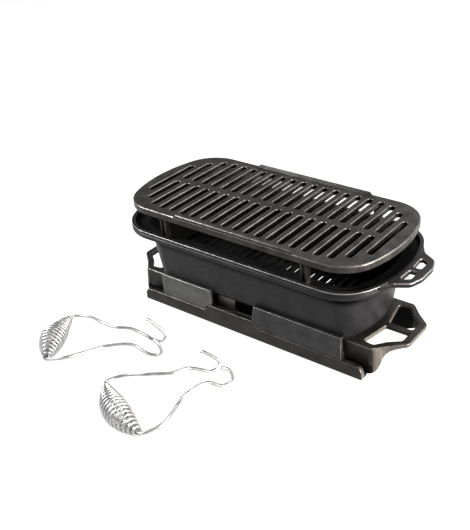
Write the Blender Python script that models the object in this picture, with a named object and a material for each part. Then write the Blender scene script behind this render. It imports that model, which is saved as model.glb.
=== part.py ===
"""Cast-iron hibachi grill: base, fire bowl, coal grate, cooking grate, two draught doors, two bail lifters.

Metres, +Z up. The origin is on the ground under the middle of the base, +X runs along the grill,
and the draught doors face -Y.
"""
import math

import bmesh
import bpy
from mathutils import Matrix, Vector

MM = 0.001
FIT_GAP = 0.3 * MM

# Heights above the ground
BASE_TOP = 46.6 * MM
BOWL_BOTTOM = BASE_TOP + FIT_GAP
BOWL_FLOOR = BOWL_BOTTOM + 5.0 * MM
LEDGE_TOP = 140.4 * MM
RIM_TOP = 147.3 * MM
GRATE_TOP = 183.3 * MM
GRATE_THICKNESS = 10.5 * MM
GRATE_WEB = 8.2 * MM
COAL_TOP = 77.0 * MM
COAL_THICKNESS = 9.0 * MM

# Outline shared by the cooking grate and the bowl: four corner arcs and two bulged ends
CORNER_X = 151.0 * MM
CORNER_Y = 48.5 * MM
RIM_HALF_LENGTH = 224.2 * MM
RIM_CORNER_RADIUS = 62.7 * MM
GRATE_INSET = 6.7 * MM
GRATE_END_TRIM = 2.6 * MM

# Cooking grate slots
SLOT_PITCH = 19.0 * MM
SLOT_WIDTH = 9.5 * MM
SLOT_INNER_Y = 5.3 * MM
SLOT_OUTER_Y = 89.9 * MM
SLOT_COLUMNS = 9
END_SLOT_HALF = 51.9 * MM
OUTER_COLUMN_CUT = {8: 3.0 * MM, 9: 17.0 * MM}
SLOT_DRAFT = 1.2 * MM
GRATE_SKIRT_WIDTH = 5.0 * MM
LIP_ENDS = (-97.0 * MM, 106.0 * MM)
LIP_HEIGHT = 3.8 * MM
LIP_WIDTH = 6.0 * MM
GRATE_LEG_X = 121.6 * MM
GRATE_LEG_Y = 97.0 * MM
# Channel section of a leg, open on the outer side: (x, outward) in millimetres from its centre
LEG_SECTION = ((-5.5, -5), (5.5, -5), (5.5, 5), (2, 5), (2, 1), (-2, 1), (-2, 5), (-5.5, 5))

# Fire bowl: section of the wall as (inset from the rim's outline, height), down the outside and up the inside
BOWL_PROFILE = ((0.6, 147.3), (0.0, 146.6), (0.9, 142.4), (0.0, 140.2), (0.0, 136.4), (1.4, 135.0), (27.0, 134.5),
                (39.4, 56.6), (40.4, 51.8), (43.0, 48.4), (47.0, 46.9), (52.0, 46.9), (52.0, 51.9), (49.5, 51.9),
                (46.5, 54.0), (45.0, 58.0), (33.0, 132.0), (27.5, 140.4), (7.4, 140.4), (6.3, 141.4), (6.3, 147.3))
BOWL_PROFILE_FOOT = 46.9 * MM
# Half outline of a bowl handle and one of its two windows: (x, y, corner radius) in millimetres
BOWL_HANDLE = ((198, 66, 0), (214, 64, 8), (221, 49, 10), (243.5, 35.5, 12), (250.4, 17, 22))
BOWL_WINDOW = ((227.0, 5.0, 3), (237.5, 5.0, 3), (237.5, 24.0, 5), (225.0, 32.5, 3))
BOWL_HANDLE_BOTTOM = RIM_TOP - 6.8 * MM
BOWL_HANDLE_TOP = RIM_TOP - 0.4 * MM
END_FLOOR_X = (143.0 * MM, 190.0 * MM)
END_FLOOR_INSET = 49.0 * MM

# Coal grate
COAL_HALF_LENGTH = 168.0 * MM
COAL_HALF_WIDTH = 62.0 * MM
COAL_PITCH = 14.25 * MM
COAL_SLOT_WIDTH = 7.6 * MM
COAL_COLUMNS = 10
COAL_SLOT_Y = (4.5 * MM, 53.0 * MM)
COAL_CORNER = 14.0 * MM
COAL_FOOT_X = 157.5 * MM
COAL_FOOT_Y = 44.0 * MM
COAL_FOOT_HALF = 4.0 * MM

# Base
WALL_Y = 65.5 * MM
WALL_THICKNESS = 5.0 * MM
WALL_HALF_LENGTH = 186.0 * MM
TRAY_HALF_LENGTH = 140.0 * MM
END_CAVITY_X = (145.0 * MM, 208.0 * MM)
PLATE_THICKNESS = 6.6 * MM
PORTS = ((-125.0 * MM, -60.0 * MM), (-27.5 * MM, 68.0 * MM))
PORT_SILL = 25.6 * MM
# Half outline of an end plate with its loop handle, and one of its two windows
BASE_PLATE = ((142, 65.3, 0), (203, 65.3, 10), (221, 46.5, 30), (242.3, 27.5, 10))
BASE_WINDOW = ((184.5, 52.0, 4), (194.0, 4.2, 3), (230.9, 4.2, 4), (230.9, 25.0, 8), (213.8, 38.5, 8),
               (201.4, 54.2, 5))
# Skirt under a handle's neck: (outer x, outer y), (inner x, inner y) and the height of its lower edge
SKIRT_TOP = 43.0
SKIRT_STATIONS = (((180, 65.4), (180, 59.0), 0.0), ((190, 65.4), (190, 59.0), 0.8), ((198, 65.4), (196, 59.0), 3.5),
                  ((203, 65.0), (199.4, 58.6), 5.6), ((206.6, 63.2), (202.2, 57.4), 7.4),
                  ((209.8, 60.0), (204.2, 55.2), 10.0), ((212.4, 56.2), (207.0, 51.5), 16.5),
                  ((215.2, 52.4), (210.0, 47.6), 25.5), ((219.0, 47.8), (213.6, 43.2), 33.5),
                  ((225.0, 42.0), (220.0, 37.6), 37.2), ((233.0, 34.8), (228.6, 30.2), 39.4),
                  ((239.6, 28.0), (234.6, 26.0), 40.4))

# Front rail, its stop block, and the doors that ride on it
RAIL_FRONT = -79.8 * MM
RAIL_BACK = -71.3 * MM
RAIL_HALF_LENGTH = 198.5 * MM
RAIL_TOP = 20.0 * MM
CHANNEL_FLOOR = 5.0 * MM
STOP_TOP = 30.8 * MM
RAIL_END_RADIUS = 11.0 * MM
# Stop block between the doors: x of its foot and of its top, at the left and right
STOP_FOOT = (-77.0 * MM, 24.5 * MM)
STOP_CREST = (-67.0 * MM, 13.5 * MM)
DOOR_FRONT = -78.5 * MM
DOOR_BACK = -72.8 * MM
DOOR_BOTTOM = RAIL_TOP + FIT_GAP
# Door plates as (x, z) in millimetres; the lower inner corner of each is cut to clear the stop block's slope
LEFT_DOOR = ((-160.2, 20.3), (-79.0, 20.3), (-67.6, 31.8), (-63.3, 31.8), (-63.3, 56.6), (-160.2, 56.6))
RIGHT_DOOR = ((26.0, 20.3), (165.0, 20.3), (165.0, 56.6), (16.5, 56.6), (12.4, 32.8))
LEFT_TONGUE = (-158.0 * MM, -82.0 * MM)
RIGHT_TONGUE = (28.0 * MM, 163.0 * MM)
TONGUE_PLAY = 0.6 * MM
TONGUE_FOOT = 7.0 * MM
TONGUE_OVERLAP = 7.0 * MM

# Lifters: a bent wire bail with a coiled grip, lying on the ground
WIRE_RADIUS = 2.3 * MM
COIL_WIRE_RADIUS = 1.8 * MM
COIL_TURNS = 16
COIL_STEPS = 8
COIL_HALF_LENGTH = 52.0 * MM
COIL_END_RADIUS = 4.4 * MM
COIL_MIDDLE_RADIUS = 16.5 * MM
# The grip is bowed away from the hooks: offset of its axis at the ends, and how far the middle lies back
GRIP_END_OFFSET = 9.0 * MM
GRIP_BOW = 8.0 * MM
# Wire from the middle of the grip to each hook's tip, in millimetres: along the grip, away from it, wire height
LEFT_ARM = ((-28, 3.3, 15.7), (-50, 8.4, 15.7), (-62, 15, 15), (-57.5, 39, 17), (-34, 63.5, 24), (-20, 85, 25),
            (-16, 96, 25.5), (-17.5, 115, 22.5), (-19.5, 135, 9.5), (-18.5, 145, 2.5), (-17.5, 154, 1.5),
            (-18.5, 161.5, 5), (-20.5, 163, 13), (-21.5, 146, 32), (-20.5, 139, 38))
RIGHT_ARM = ((28, 3.3, 15.7), (50, 8.4, 15.7), (59, 15, 19), (62, 38, 24), (44, 63.5, 22), (28, 83, 20.5),
             (24, 96, 21), (20.8, 112, 21.3), (19, 126, 18.5), (18.5, 134.5, 12), (18.5, 142.5, 5.5),
             (18, 150.5, 1.5), (17, 159, 1.2), (16.5, 165, 7), (17, 161.5, 20.5), (17.5, 155, 28), (16.5, 149, 31))
# Each lifter: middle of its grip, direction of the grip, and how much it leans along the grip as it rests
LIFTERS = {"front": ((-24.3, -324.2), (0.927, -0.3756), -0.056),
           "rear": ((-221.2, -255.1), (0.505, -0.863), 0.038)}


def clear_scene():
    for item in list(bpy.data.objects):
        bpy.data.objects.remove(item, do_unlink=True)


def make_material(name, colour, roughness, metallic):
    material = bpy.data.materials.new(name)
    material.use_nodes = True
    shader = material.node_tree.nodes["Principled BSDF"]
    shader.inputs["Base Color"].default_value = (*colour, 1.0)
    shader.inputs["Roughness"].default_value = roughness
    shader.inputs["Metallic"].default_value = metallic
    return material


def add_object(name, bm, material=None):
    """Link a bmesh as an object, with its faces pointing out."""
    bmesh.ops.recalc_face_normals(bm, faces=bm.faces)
    mesh = bpy.data.meshes.new(name)
    bm.to_mesh(mesh)
    bm.free()
    item = bpy.data.objects.new(name, mesh)
    bpy.context.scene.collection.objects.link(item)
    if material:
        mesh.materials.append(material)
    return item


def apply_boolean(target, tool, operation):
    """Join the tool to the target, or cut it away, and remove the tool."""
    modifier = target.modifiers.new("boolean", "BOOLEAN")
    modifier.operation = operation
    modifier.solver = "EXACT"
    modifier.object = tool
    graph = bpy.context.evaluated_depsgraph_get()
    result = bpy.data.meshes.new_from_object(target.evaluated_get(graph))
    target.modifiers.remove(modifier)
    old = target.data
    target.data = result
    bpy.data.meshes.remove(old)
    bpy.data.objects.remove(tool, do_unlink=True)


def finish(item, angle=35.0):
    """Weld stray doubles, drop stray edges and shade round faces smooth."""
    bm = bmesh.new()
    bm.from_mesh(item.data)
    bmesh.ops.remove_doubles(bm, verts=bm.verts, dist=0.02 * MM)
    bmesh.ops.dissolve_degenerate(bm, edges=bm.edges, dist=0.01 * MM)
    loose = [edge for edge in bm.edges if not edge.link_faces]
    bmesh.ops.delete(bm, geom=loose, context="EDGES")
    bm.to_mesh(item.data)
    bm.free()
    item.data.shade_smooth()
    item.data.set_sharp_from_angle(angle=math.radians(angle))
    return item


def loft(rings, wrap=False):
    """Skin a list of rings of 3-D points; wrap joins the last ring to the first, otherwise the ends are capped."""
    bm = bmesh.new()
    grid = [[bm.verts.new(point) for point in ring] for ring in rings]
    pairs = list(zip(grid, grid[1:]))
    if wrap:
        pairs.append((grid[-1], grid[0]))
    for lower, upper in pairs:
        count = len(lower)
        for i in range(count):
            j = (i + 1) % count
            bm.faces.new((lower[i], lower[j], upper[j], upper[i]))
    if not wrap:
        bm.faces.new(grid[0][::-1])
        bm.faces.new(grid[-1])
    return bm


def prism(outline, low, high):
    """Upright prism over an (x, y) outline."""
    return loft([[(x, y, z) for x, y in outline] for z in (low, high)])


def profile_prism(outline, start, end, axis):
    """Prism of an outline swept along X (outline is y, z) or along Y (outline is x, z)."""
    if axis == "X":
        return loft([[(s, a, b) for a, b in outline] for s in (start, end)])
    return loft([[(a, s, b) for a, b in outline] for s in (start, end)])


def box(low, high):
    outline = [(low[0], low[1]), (high[0], low[1]), (high[0], high[1]), (low[0], high[1])]
    return prism(outline, low[2], high[2])


def arc(centre, radius, start, end, steps):
    """Points on an arc; the angles are in degrees."""
    points = []
    for i in range(steps + 1):
        angle = math.radians(start + (end - start) * i / steps)
        points.append((centre[0] + radius * math.cos(angle), centre[1] + radius * math.sin(angle)))
    return points


def rounded(corners, steps=4):
    """Polygon whose corners (x, y, radius) are rounded by arcs."""
    points = []
    count = len(corners)
    for i, (x, y, radius) in enumerate(corners):
        here = Vector((x, y))
        before = (Vector(corners[i - 1][:2]) - here).normalized()
        after = (Vector(corners[(i + 1) % count][:2]) - here).normalized()
        if radius <= 0:
            points.append((x, y))
            continue
        half = before.angle(after) / 2
        centre = here + (before + after).normalized() * radius / math.sin(half)
        first = here + before * radius / math.tan(half) - centre
        last = here + after * radius / math.tan(half) - centre
        turn = first.angle_signed(last)
        for k in range(steps + 1):
            angle = -turn * k / steps
            spoke = Matrix.Rotation(angle, 2) @ first
            points.append(tuple(centre + spoke))
    return points


def oval(inset, end_trim=0.0, steps=6):
    """The rim's outline moved inward by inset: straight sides, corner arcs and bulged ends."""
    radius = RIM_CORNER_RADIUS - inset
    reach = RIM_HALF_LENGTH - inset - end_trim - radius
    end_x = (reach ** 2 - CORNER_X ** 2 - CORNER_Y ** 2) / (2 * (reach - CORNER_X))
    end_radius = reach + radius - end_x
    meet = math.degrees(math.atan2(CORNER_Y, CORNER_X - end_x))
    quarter = arc((end_x, 0), end_radius, 0, meet, 3)[:-1] + arc((CORNER_X, CORNER_Y), radius, meet, 90, steps)
    upper = quarter + [(-x, y) for x, y in quarter[::-1]]
    lower = [(x, -y) for x, y in upper[1:-1][::-1]]
    return upper + lower


def slot(x, low, high, width):
    """Outline of a slot along Y with round ends."""
    r = width / 2
    return arc((x, high - r), r, 0, 180, 4) + arc((x, low + r), r, 180, 360, 4)


def drafted_slot(x, low, high, width):
    """Top and bottom outlines of a slot that opens downward."""
    return slot(x, low, high, width), slot(x, low - SLOT_DRAFT, high + SLOT_DRAFT, width + 2 * SLOT_DRAFT)


def at_height(outline, z):
    return [(x, y, z) for x, y in outline]


def in_metres(corners):
    return [tuple(value * MM for value in corner) for corner in corners]


def plate_with_slots(name, outer_rings, slots, low, high, material):
    """Plate pierced by slots. The outer rings of 3-D points run from its top edge to its bottom edge.

    Each slot is a pair of outlines, at the plate's top and at its bottom.
    """
    bm = bmesh.new()
    rims = []
    for rings in [outer_rings] + [[[(x, y, high) for x, y in top], [(x, y, low) for x, y in bottom]]
                                  for top, bottom in slots]:
        levels = [[bm.verts.new(point) for point in ring] for ring in rings]
        for upper, lower in zip(levels, levels[1:]):
            for i in range(len(upper)):
                j = (i + 1) % len(upper)
                bm.faces.new((lower[i], lower[j], upper[j], upper[i]))
        rims.append((levels[-1], levels[0]))
    for side in (0, 1):
        edges = []
        for rim in rims:
            ring = rim[side]
            for i, vert in enumerate(ring):
                edges.append(bm.edges.get((vert, ring[(i + 1) % len(ring)])))
        bmesh.ops.triangle_fill(bm, edges=edges, use_beauty=True, use_dissolve=False)
    return add_object(name, bm, material)


def mirrored(points, sx, sy):
    """Mirror (x, y) points and keep their turning sense."""
    flipped = [(x * sx, y * sy) for x, y in points]
    return flipped if sx * sy > 0 else flipped[::-1]


def make_cooking_grate(material):
    """Slotted plate with a deeper skirt round its edge, a raised lip on each long side and four legs."""
    low = GRATE_TOP - GRATE_THICKNESS
    web_low = GRATE_TOP - GRATE_WEB
    slots = []
    for column in range(-SLOT_COLUMNS, SLOT_COLUMNS + 1):
        outer = SLOT_OUTER_Y - OUTER_COLUMN_CUT.get(abs(column), 0.0)
        slots.append(drafted_slot(column * SLOT_PITCH, SLOT_INNER_Y, outer, SLOT_WIDTH))
        slots.append(drafted_slot(column * SLOT_PITCH, -outer, -SLOT_INNER_Y, SLOT_WIDTH))
    for side in (-1, 1):
        x = side * (SLOT_COLUMNS + 1) * SLOT_PITCH
        slots.append(drafted_slot(x, -END_SLOT_HALF, END_SLOT_HALF, SLOT_WIDTH))
    outline = oval(GRATE_INSET, GRATE_END_TRIM)
    inner = oval(GRATE_INSET + GRATE_SKIRT_WIDTH, GRATE_END_TRIM)
    rings = [at_height(outline, GRATE_TOP), at_height(outline, low), at_height(inner, low), at_height(inner, web_low)]
    grate = plate_with_slots("cooking_grate", rings, slots, web_low, GRATE_TOP, material)
    edge = CORNER_Y + RIM_CORNER_RADIUS - GRATE_INSET
    root = GRATE_TOP - 0.5 * GRATE_WEB
    for side in (-1, 1):
        section = [(side * edge, root), (side * (edge - LIP_WIDTH), root), (side * (edge - LIP_WIDTH), GRATE_TOP),
                   (side * (edge - 0.5 * LIP_WIDTH), GRATE_TOP + LIP_HEIGHT), (side * edge, GRATE_TOP + LIP_HEIGHT)]
        apply_boolean(grate, add_object("lip", profile_prism(section, *LIP_ENDS, "X")), "UNION")
        for end in (-1, 1):
            x, y = end * GRATE_LEG_X, side * GRATE_LEG_Y
            leg = [(x + px * MM, y + side * py * MM) for px, py in LEG_SECTION[::side]]
            post = prism(leg, LEDGE_TOP + FIT_GAP, root)
            apply_boolean(grate, add_object("leg", post), "UNION")
    return finish(grate)


def loop_outline(half, side):
    """Closed outline of a loop handle from its half outline, mirrored to the given end."""
    corners = in_metres(half)
    corners += [(x, -y, r) for x, y, r in corners[::-1]]
    return mirrored(rounded(corners), side, 1)


def make_fire_bowl(material):
    """Ring casting: rolled flange, rabbet for the grate, tapered wall, inward foot, end floors and two handles."""
    shift = BOWL_BOTTOM - BOWL_PROFILE_FOOT
    rings = [at_height(oval(inset * MM), z * MM + shift) for inset, z in BOWL_PROFILE]
    bowl = add_object("fire_bowl", loft(rings, wrap=True), material)
    clearance = 20 * MM
    for side in (-1, 1):
        handle = prism(loop_outline(BOWL_HANDLE, side), BOWL_HANDLE_BOTTOM, BOWL_HANDLE_TOP)
        tool = add_object("handle", handle)
        inner = prism(oval(3 * MM), RIM_TOP - clearance, RIM_TOP + clearance)
        apply_boolean(tool, add_object("inner", inner), "DIFFERENCE")
        apply_boolean(bowl, tool, "UNION")
        for across in (-1, 1):
            window = mirrored(rounded(in_metres(BOWL_WINDOW)), side, across)
            apply_boolean(bowl, add_object("window", prism(window, RIM_TOP - clearance, RIM_TOP + clearance)),
                          "DIFFERENCE")
        floor = add_object("floor", prism(oval(END_FLOOR_INSET), BOWL_BOTTOM + FIT_GAP, BOWL_FLOOR - FIT_GAP))
        low, high = sorted(side * x for x in END_FLOOR_X)
        end = box((low, -CORNER_X, BOWL_BOTTOM - FIT_GAP), (high, CORNER_X, BOWL_FLOOR + FIT_GAP))
        apply_boolean(floor, add_object("end", end), "INTERSECT")
        apply_boolean(bowl, floor, "UNION")
    return finish(bowl)


def make_coal_grate(material):
    """Slotted plate on four short feet that stand on the bowl's end floors."""
    low = COAL_TOP - COAL_THICKNESS
    inner, outer = COAL_SLOT_Y
    slots = []
    for column in range(-COAL_COLUMNS, COAL_COLUMNS + 1):
        slots.append(drafted_slot(column * COAL_PITCH, inner, outer, COAL_SLOT_WIDTH))
        slots.append(drafted_slot(column * COAL_PITCH, -outer, -inner, COAL_SLOT_WIDTH))
    length, width = COAL_HALF_LENGTH, COAL_HALF_WIDTH
    outline = rounded([(length, width, COAL_CORNER), (-length, width, COAL_CORNER), (-length, -width, COAL_CORNER),
                       (length, -width, COAL_CORNER)])
    rings = [at_height(outline, COAL_TOP), at_height(outline, low)]
    coal = plate_with_slots("coal_grate", rings, slots, low, COAL_TOP, material)
    for end in (-1, 1):
        for side in (-1, 1):
            x, y = end * COAL_FOOT_X, side * COAL_FOOT_Y
            foot = box((x - COAL_FOOT_HALF, y - COAL_FOOT_HALF, BOWL_FLOOR),
                       (x + COAL_FOOT_HALF, y + COAL_FOOT_HALF, low + 0.25 * COAL_THICKNESS))
            apply_boolean(coal, add_object("foot", foot), "UNION")
    return finish(coal)


def corner_skirt(sx, sy):
    """Wall under the neck of a handle: it comes down at the corner and sweeps up along the neck."""
    rings = []
    for outer, inner, low in SKIRT_STATIONS:
        points = [(*outer, low), (*outer, SKIRT_TOP), (*inner, SKIRT_TOP), (*inner, low)]
        rings.append([(x * sx * MM, y * sy * MM, z * MM) for x, y, z in points])
    bm = loft(rings)
    bmesh.ops.triangulate(bm, faces=bm.faces)
    return bm


def rail_end_corner(end, side):
    """Outline, as (x, z), of what is cut off a rail's upper end corner to round it."""
    radius = RAIL_END_RADIUS
    centre = (end - side * radius, RAIL_TOP - radius)
    start, stop = (0, 90) if side > 0 else (180, 90)
    return ([(end + side * MM, RAIL_TOP + MM), (end + side * MM, centre[1])] + arc(centre, radius, start, stop, 5)
            + [(centre[0], RAIL_TOP + MM)])


def make_base(material):
    """Stand: two long walls with air ports, an ash tray between them, end plates with handles and a front rail."""
    base = add_object("base", box((-WALL_HALF_LENGTH, -WALL_Y, 0), (WALL_HALF_LENGTH, WALL_Y, BASE_TOP)), material)
    inside_y = WALL_Y - WALL_THICKNESS
    clearance = 5 * MM
    plate_low = BASE_TOP - PLATE_THICKNESS
    tray = box((-TRAY_HALF_LENGTH, -inside_y, CHANNEL_FLOOR), (TRAY_HALF_LENGTH, inside_y, BASE_TOP + clearance))
    apply_boolean(base, add_object("tray", tray), "DIFFERENCE")
    for side in (-1, 1):
        low, high = sorted(side * x for x in END_CAVITY_X)
        under = box((low, -inside_y, -clearance), (high, inside_y, plate_low))
        apply_boolean(base, add_object("under", under), "DIFFERENCE")
        for across in (-1, 1):
            apply_boolean(base, add_object("skirt", corner_skirt(side, across)), "UNION")
        plate = prism(loop_outline(BASE_PLATE, side), plate_low, BASE_TOP)
        apply_boolean(base, add_object("plate", plate), "UNION")
        for across in (-1, 1):
            window = mirrored(rounded(in_metres(BASE_WINDOW)), side, across)
            tool = prism(window, plate_low - clearance, BASE_TOP + clearance)
            apply_boolean(base, add_object("window", tool), "DIFFERENCE")
    for start, end in PORTS:
        port = box((start, -WALL_Y - clearance, PORT_SILL), (end, WALL_Y + clearance, BASE_TOP + clearance))
        apply_boolean(base, add_object("port", port), "DIFFERENCE")
    root_y = -WALL_Y + MM
    rail = [(RAIL_FRONT, 0), (root_y, 0), (root_y, CHANNEL_FLOOR), (RAIL_BACK, CHANNEL_FLOOR), (RAIL_BACK, RAIL_TOP),
            (RAIL_FRONT, RAIL_TOP)]
    apply_boolean(base, add_object("rail", profile_prism(rail, -RAIL_HALF_LENGTH, RAIL_HALF_LENGTH, "X")), "UNION")
    root_z = RAIL_TOP - 4 * MM
    stop = [(STOP_FOOT[0], root_z), (STOP_FOOT[1], root_z), (STOP_FOOT[1], RAIL_TOP), (STOP_CREST[1], STOP_TOP),
            (STOP_CREST[0], STOP_TOP), (STOP_FOOT[0], RAIL_TOP)]
    apply_boolean(base, add_object("stop", profile_prism(stop, RAIL_FRONT, RAIL_BACK, "Y")), "UNION")
    for side in (-1, 1):
        corner = rail_end_corner(side * RAIL_HALF_LENGTH, side)
        tool = profile_prism(corner, RAIL_FRONT - clearance, RAIL_BACK + MM, "Y")
        apply_boolean(base, add_object("corner", tool), "DIFFERENCE")
    return finish(base)


def make_door(name, outline, tongue, material):
    """Draught door: a plate that stands on the rail, with a tongue down in the channel behind it."""
    door = add_object(name, profile_prism(in_metres(outline), DOOR_FRONT, DOOR_BACK, "Y"), material)
    root_y = DOOR_BACK - MM
    front_y = RAIL_BACK + TONGUE_PLAY
    back_y = -WALL_Y - TONGUE_PLAY
    top_z = DOOR_BOTTOM + TONGUE_OVERLAP
    section = [(root_y, DOOR_BOTTOM), (front_y, DOOR_BOTTOM), (front_y, TONGUE_FOOT), (back_y, TONGUE_FOOT),
               (back_y, top_z), (root_y, top_z)]
    apply_boolean(door, add_object("tongue", profile_prism(section, *tongue, "X")), "UNION")
    return finish(door)


def smooth_path(points, per_span=3):
    """Catmull-Rom curve through 3-D points."""
    out = []
    for i in range(len(points) - 1):
        before, start, end = points[max(i - 1, 0)], points[i], points[i + 1]
        after = points[min(i + 2, len(points) - 1)]
        for k in range(per_span):
            t = k / per_span
            out.append(0.5 * (2 * start + (end - before) * t
                              + (2 * before - 5 * start + 4 * end - after) * t ** 2
                              + (3 * start - before - 3 * end + after) * t ** 3))
    out.append(points[-1])
    return out


def wire(name, points, radius, sides, material):
    """Round wire along a path, with flat ends."""
    rings = []
    normal = (points[1] - points[0]).orthogonal().normalized()
    for i, point in enumerate(points):
        tangent = (points[min(i + 1, len(points) - 1)] - points[max(i - 1, 0)]).normalized()
        normal = (normal - tangent * normal.dot(tangent)).normalized()
        other = tangent.cross(normal)
        turns = [2 * math.pi * k / sides for k in range(sides)]
        rings.append([point + radius * (normal * math.cos(a) + other * math.sin(a)) for a in turns])
    return finish(add_object(name, loft(rings), material), 60.0)


def coil_radius(u):
    """Radius of the grip's spindle shape at u from -1 to 1 along its axis."""
    swell = max(math.cos(u * math.pi / 2), 0.0) ** 1.1
    return COIL_END_RADIUS + (COIL_MIDDLE_RADIUS - COIL_END_RADIUS) * swell


def make_lifter(prefix, grip_centre, direction, lean, material):
    """Bail with two hooks and a coiled grip, lying on the ground. The grip's axis runs along direction."""
    u_axis = Vector((*direction, 0)).normalized()
    w_axis = Vector((-u_axis.y, u_axis.x, 0))
    up = Vector((0, 0, 1))
    origin = Vector((*grip_centre, 0)) * MM

    def place(u, w, h):
        height = h * MM + lean * u * MM + WIRE_RADIUS + FIT_GAP
        return origin + (u_axis * u + w_axis * w) * MM + up * height

    bail = [place(*point) for point in LEFT_ARM[::-1] + RIGHT_ARM]
    wire(prefix + "_lifter_bail", smooth_path(bail), WIRE_RADIUS, 6, material)
    grip_height = COIL_MIDDLE_RADIUS + COIL_WIRE_RADIUS + FIT_GAP
    turns = []
    steps = COIL_TURNS * COIL_STEPS
    for i in range(steps + 1):
        u = 2 * i / steps - 1
        angle = 2 * math.pi * i / COIL_STEPS
        spoke = w_axis * math.cos(angle) + up * math.sin(angle)
        along = COIL_HALF_LENGTH * u
        offset = GRIP_END_OFFSET - GRIP_BOW * (1 - u * u)
        centre = origin + u_axis * along + w_axis * offset + up * (grip_height + lean * along)
        turns.append(centre + spoke * coil_radius(u))
    wire(prefix + "_lifter_grip", turns, COIL_WIRE_RADIUS, 5, material)


def main():
    clear_scene()
    grate_iron = make_material("grate_iron", (0.05, 0.048, 0.047), 0.55, 0.5)
    bowl_iron = make_material("bowl_iron", (0.035, 0.036, 0.04), 0.6, 0.4)
    base_iron = make_material("base_iron", (0.045, 0.043, 0.042), 0.6, 0.4)
    door_iron = make_material("door_iron", (0.06, 0.06, 0.061), 0.5, 0.5)
    coal_iron = make_material("coal_iron", (0.02, 0.02, 0.02), 0.7, 0.3)
    steel = make_material("bright_steel", (0.75, 0.75, 0.74), 0.25, 1.0)
    make_base(base_iron)
    make_door("left_draft_door", LEFT_DOOR, LEFT_TONGUE, door_iron)
    make_door("right_draft_door", RIGHT_DOOR, RIGHT_TONGUE, door_iron)
    make_fire_bowl(bowl_iron)
    make_coal_grate(coal_iron)
    make_cooking_grate(grate_iron)
    for prefix, (grip_centre, direction, lean) in LIFTERS.items():
        make_lifter(prefix, grip_centre, direction, lean, steel)


main()
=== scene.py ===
"""Looks of the hibachi grill: fine castings, bent wire lifters, iron and nickel materials, light and camera.

Lengths are in millimetres inside the shape functions and are scaled to metres when a mesh is made.
+X runs along the grill, the draught doors face -Y, and the ground is at zero height.
"""

import math

import bmesh
import bpy
from mathutils import Matrix, Vector


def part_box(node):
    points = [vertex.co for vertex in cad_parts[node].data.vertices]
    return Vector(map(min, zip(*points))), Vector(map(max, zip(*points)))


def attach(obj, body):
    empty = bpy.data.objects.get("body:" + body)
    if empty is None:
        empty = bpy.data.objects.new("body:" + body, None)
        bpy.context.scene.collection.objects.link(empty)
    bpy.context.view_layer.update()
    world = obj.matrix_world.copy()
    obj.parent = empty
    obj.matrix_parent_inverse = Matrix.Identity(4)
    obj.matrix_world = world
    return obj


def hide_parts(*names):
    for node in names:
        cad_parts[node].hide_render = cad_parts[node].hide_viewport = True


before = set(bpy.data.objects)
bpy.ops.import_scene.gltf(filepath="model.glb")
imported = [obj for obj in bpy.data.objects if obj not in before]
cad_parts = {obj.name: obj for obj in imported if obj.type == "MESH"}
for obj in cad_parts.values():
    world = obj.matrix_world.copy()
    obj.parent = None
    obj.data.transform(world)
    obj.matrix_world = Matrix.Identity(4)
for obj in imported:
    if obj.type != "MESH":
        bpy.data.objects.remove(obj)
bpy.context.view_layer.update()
MM = 0.001

# Heights and depths of the castings, read from the frame
BASE_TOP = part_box("base")[1].z / MM
BASE_WALL_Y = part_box("base")[1].y / MM
RAIL_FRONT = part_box("base")[0].y / MM
BOWL_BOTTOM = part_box("fire_bowl")[0].z / MM
RIM_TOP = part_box("fire_bowl")[1].z / MM
GRATE_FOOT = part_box("cooking_grate")[0].z / MM
COAL_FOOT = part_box("coal_grate")[0].z / MM
COAL_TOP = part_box("coal_grate")[1].z / MM

# Cooking grate: rise of its lips over the plate, and thickness of its edge and of its bars
LIP_HEIGHT = 3.8
GRATE_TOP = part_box("cooking_grate")[1].z / MM - LIP_HEIGHT
GRATE_THICKNESS = 10.5
GRATE_WEB = 8.2

# Outline of the bowl's rim, and how far in from it and from its ends the cooking grate stays
CORNER_X = 151.0
CORNER_Y = 48.5
RIM_CORNER_RADIUS = 62.7
RIM_HALF_LENGTH = 224.2
GRATE_INSET = 6.7
GRATE_END_TRIM = 2.6

# Front rail of the base and the stop block on it
RAIL_BACK = RAIL_FRONT + 8.5
RAIL_TOP = 20.0
RAIL_HALF_LENGTH = 198.5
STOP_TOP = 30.8

# Material slots of the castings: plain, worn edge, and soot black that also serves as painted shade
PLAIN, WORN, SOOT_AND_SHADE = 0, 1, 2
# Rings that round a plate's edge, and how far a cutter sticks out of what it cuts
ROUND_STEPS = 3
OVERCUT = 5


# ---------------------------------------------------------------- mesh helpers

def new_object(name, bm, materials=()):
    """Link a bmesh, given in millimetres, as an object in metres with its faces pointing out."""
    bmesh.ops.scale(bm, vec=(MM, MM, MM), verts=bm.verts)
    bmesh.ops.recalc_face_normals(bm, faces=bm.faces)
    mesh = bpy.data.meshes.new(name)
    bm.to_mesh(mesh)
    bm.free()
    item = bpy.data.objects.new(name, mesh)
    bpy.context.scene.collection.objects.link(item)
    for material in materials:
        mesh.materials.append(material)
    return item


def bake_modifiers(item):
    """Replace an object's mesh by the result of its modifiers."""
    graph = bpy.context.evaluated_depsgraph_get()
    result = bpy.data.meshes.new_from_object(item.evaluated_get(graph))
    item.modifiers.clear()
    old = item.data
    item.data = result
    bpy.data.meshes.remove(old)


def boolean(target, tool, operation):
    modifier = target.modifiers.new("boolean", "BOOLEAN")
    modifier.operation = operation
    modifier.solver = "EXACT"
    modifier.object = tool
    bake_modifiers(target)
    bpy.data.objects.remove(tool, do_unlink=True)


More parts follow.
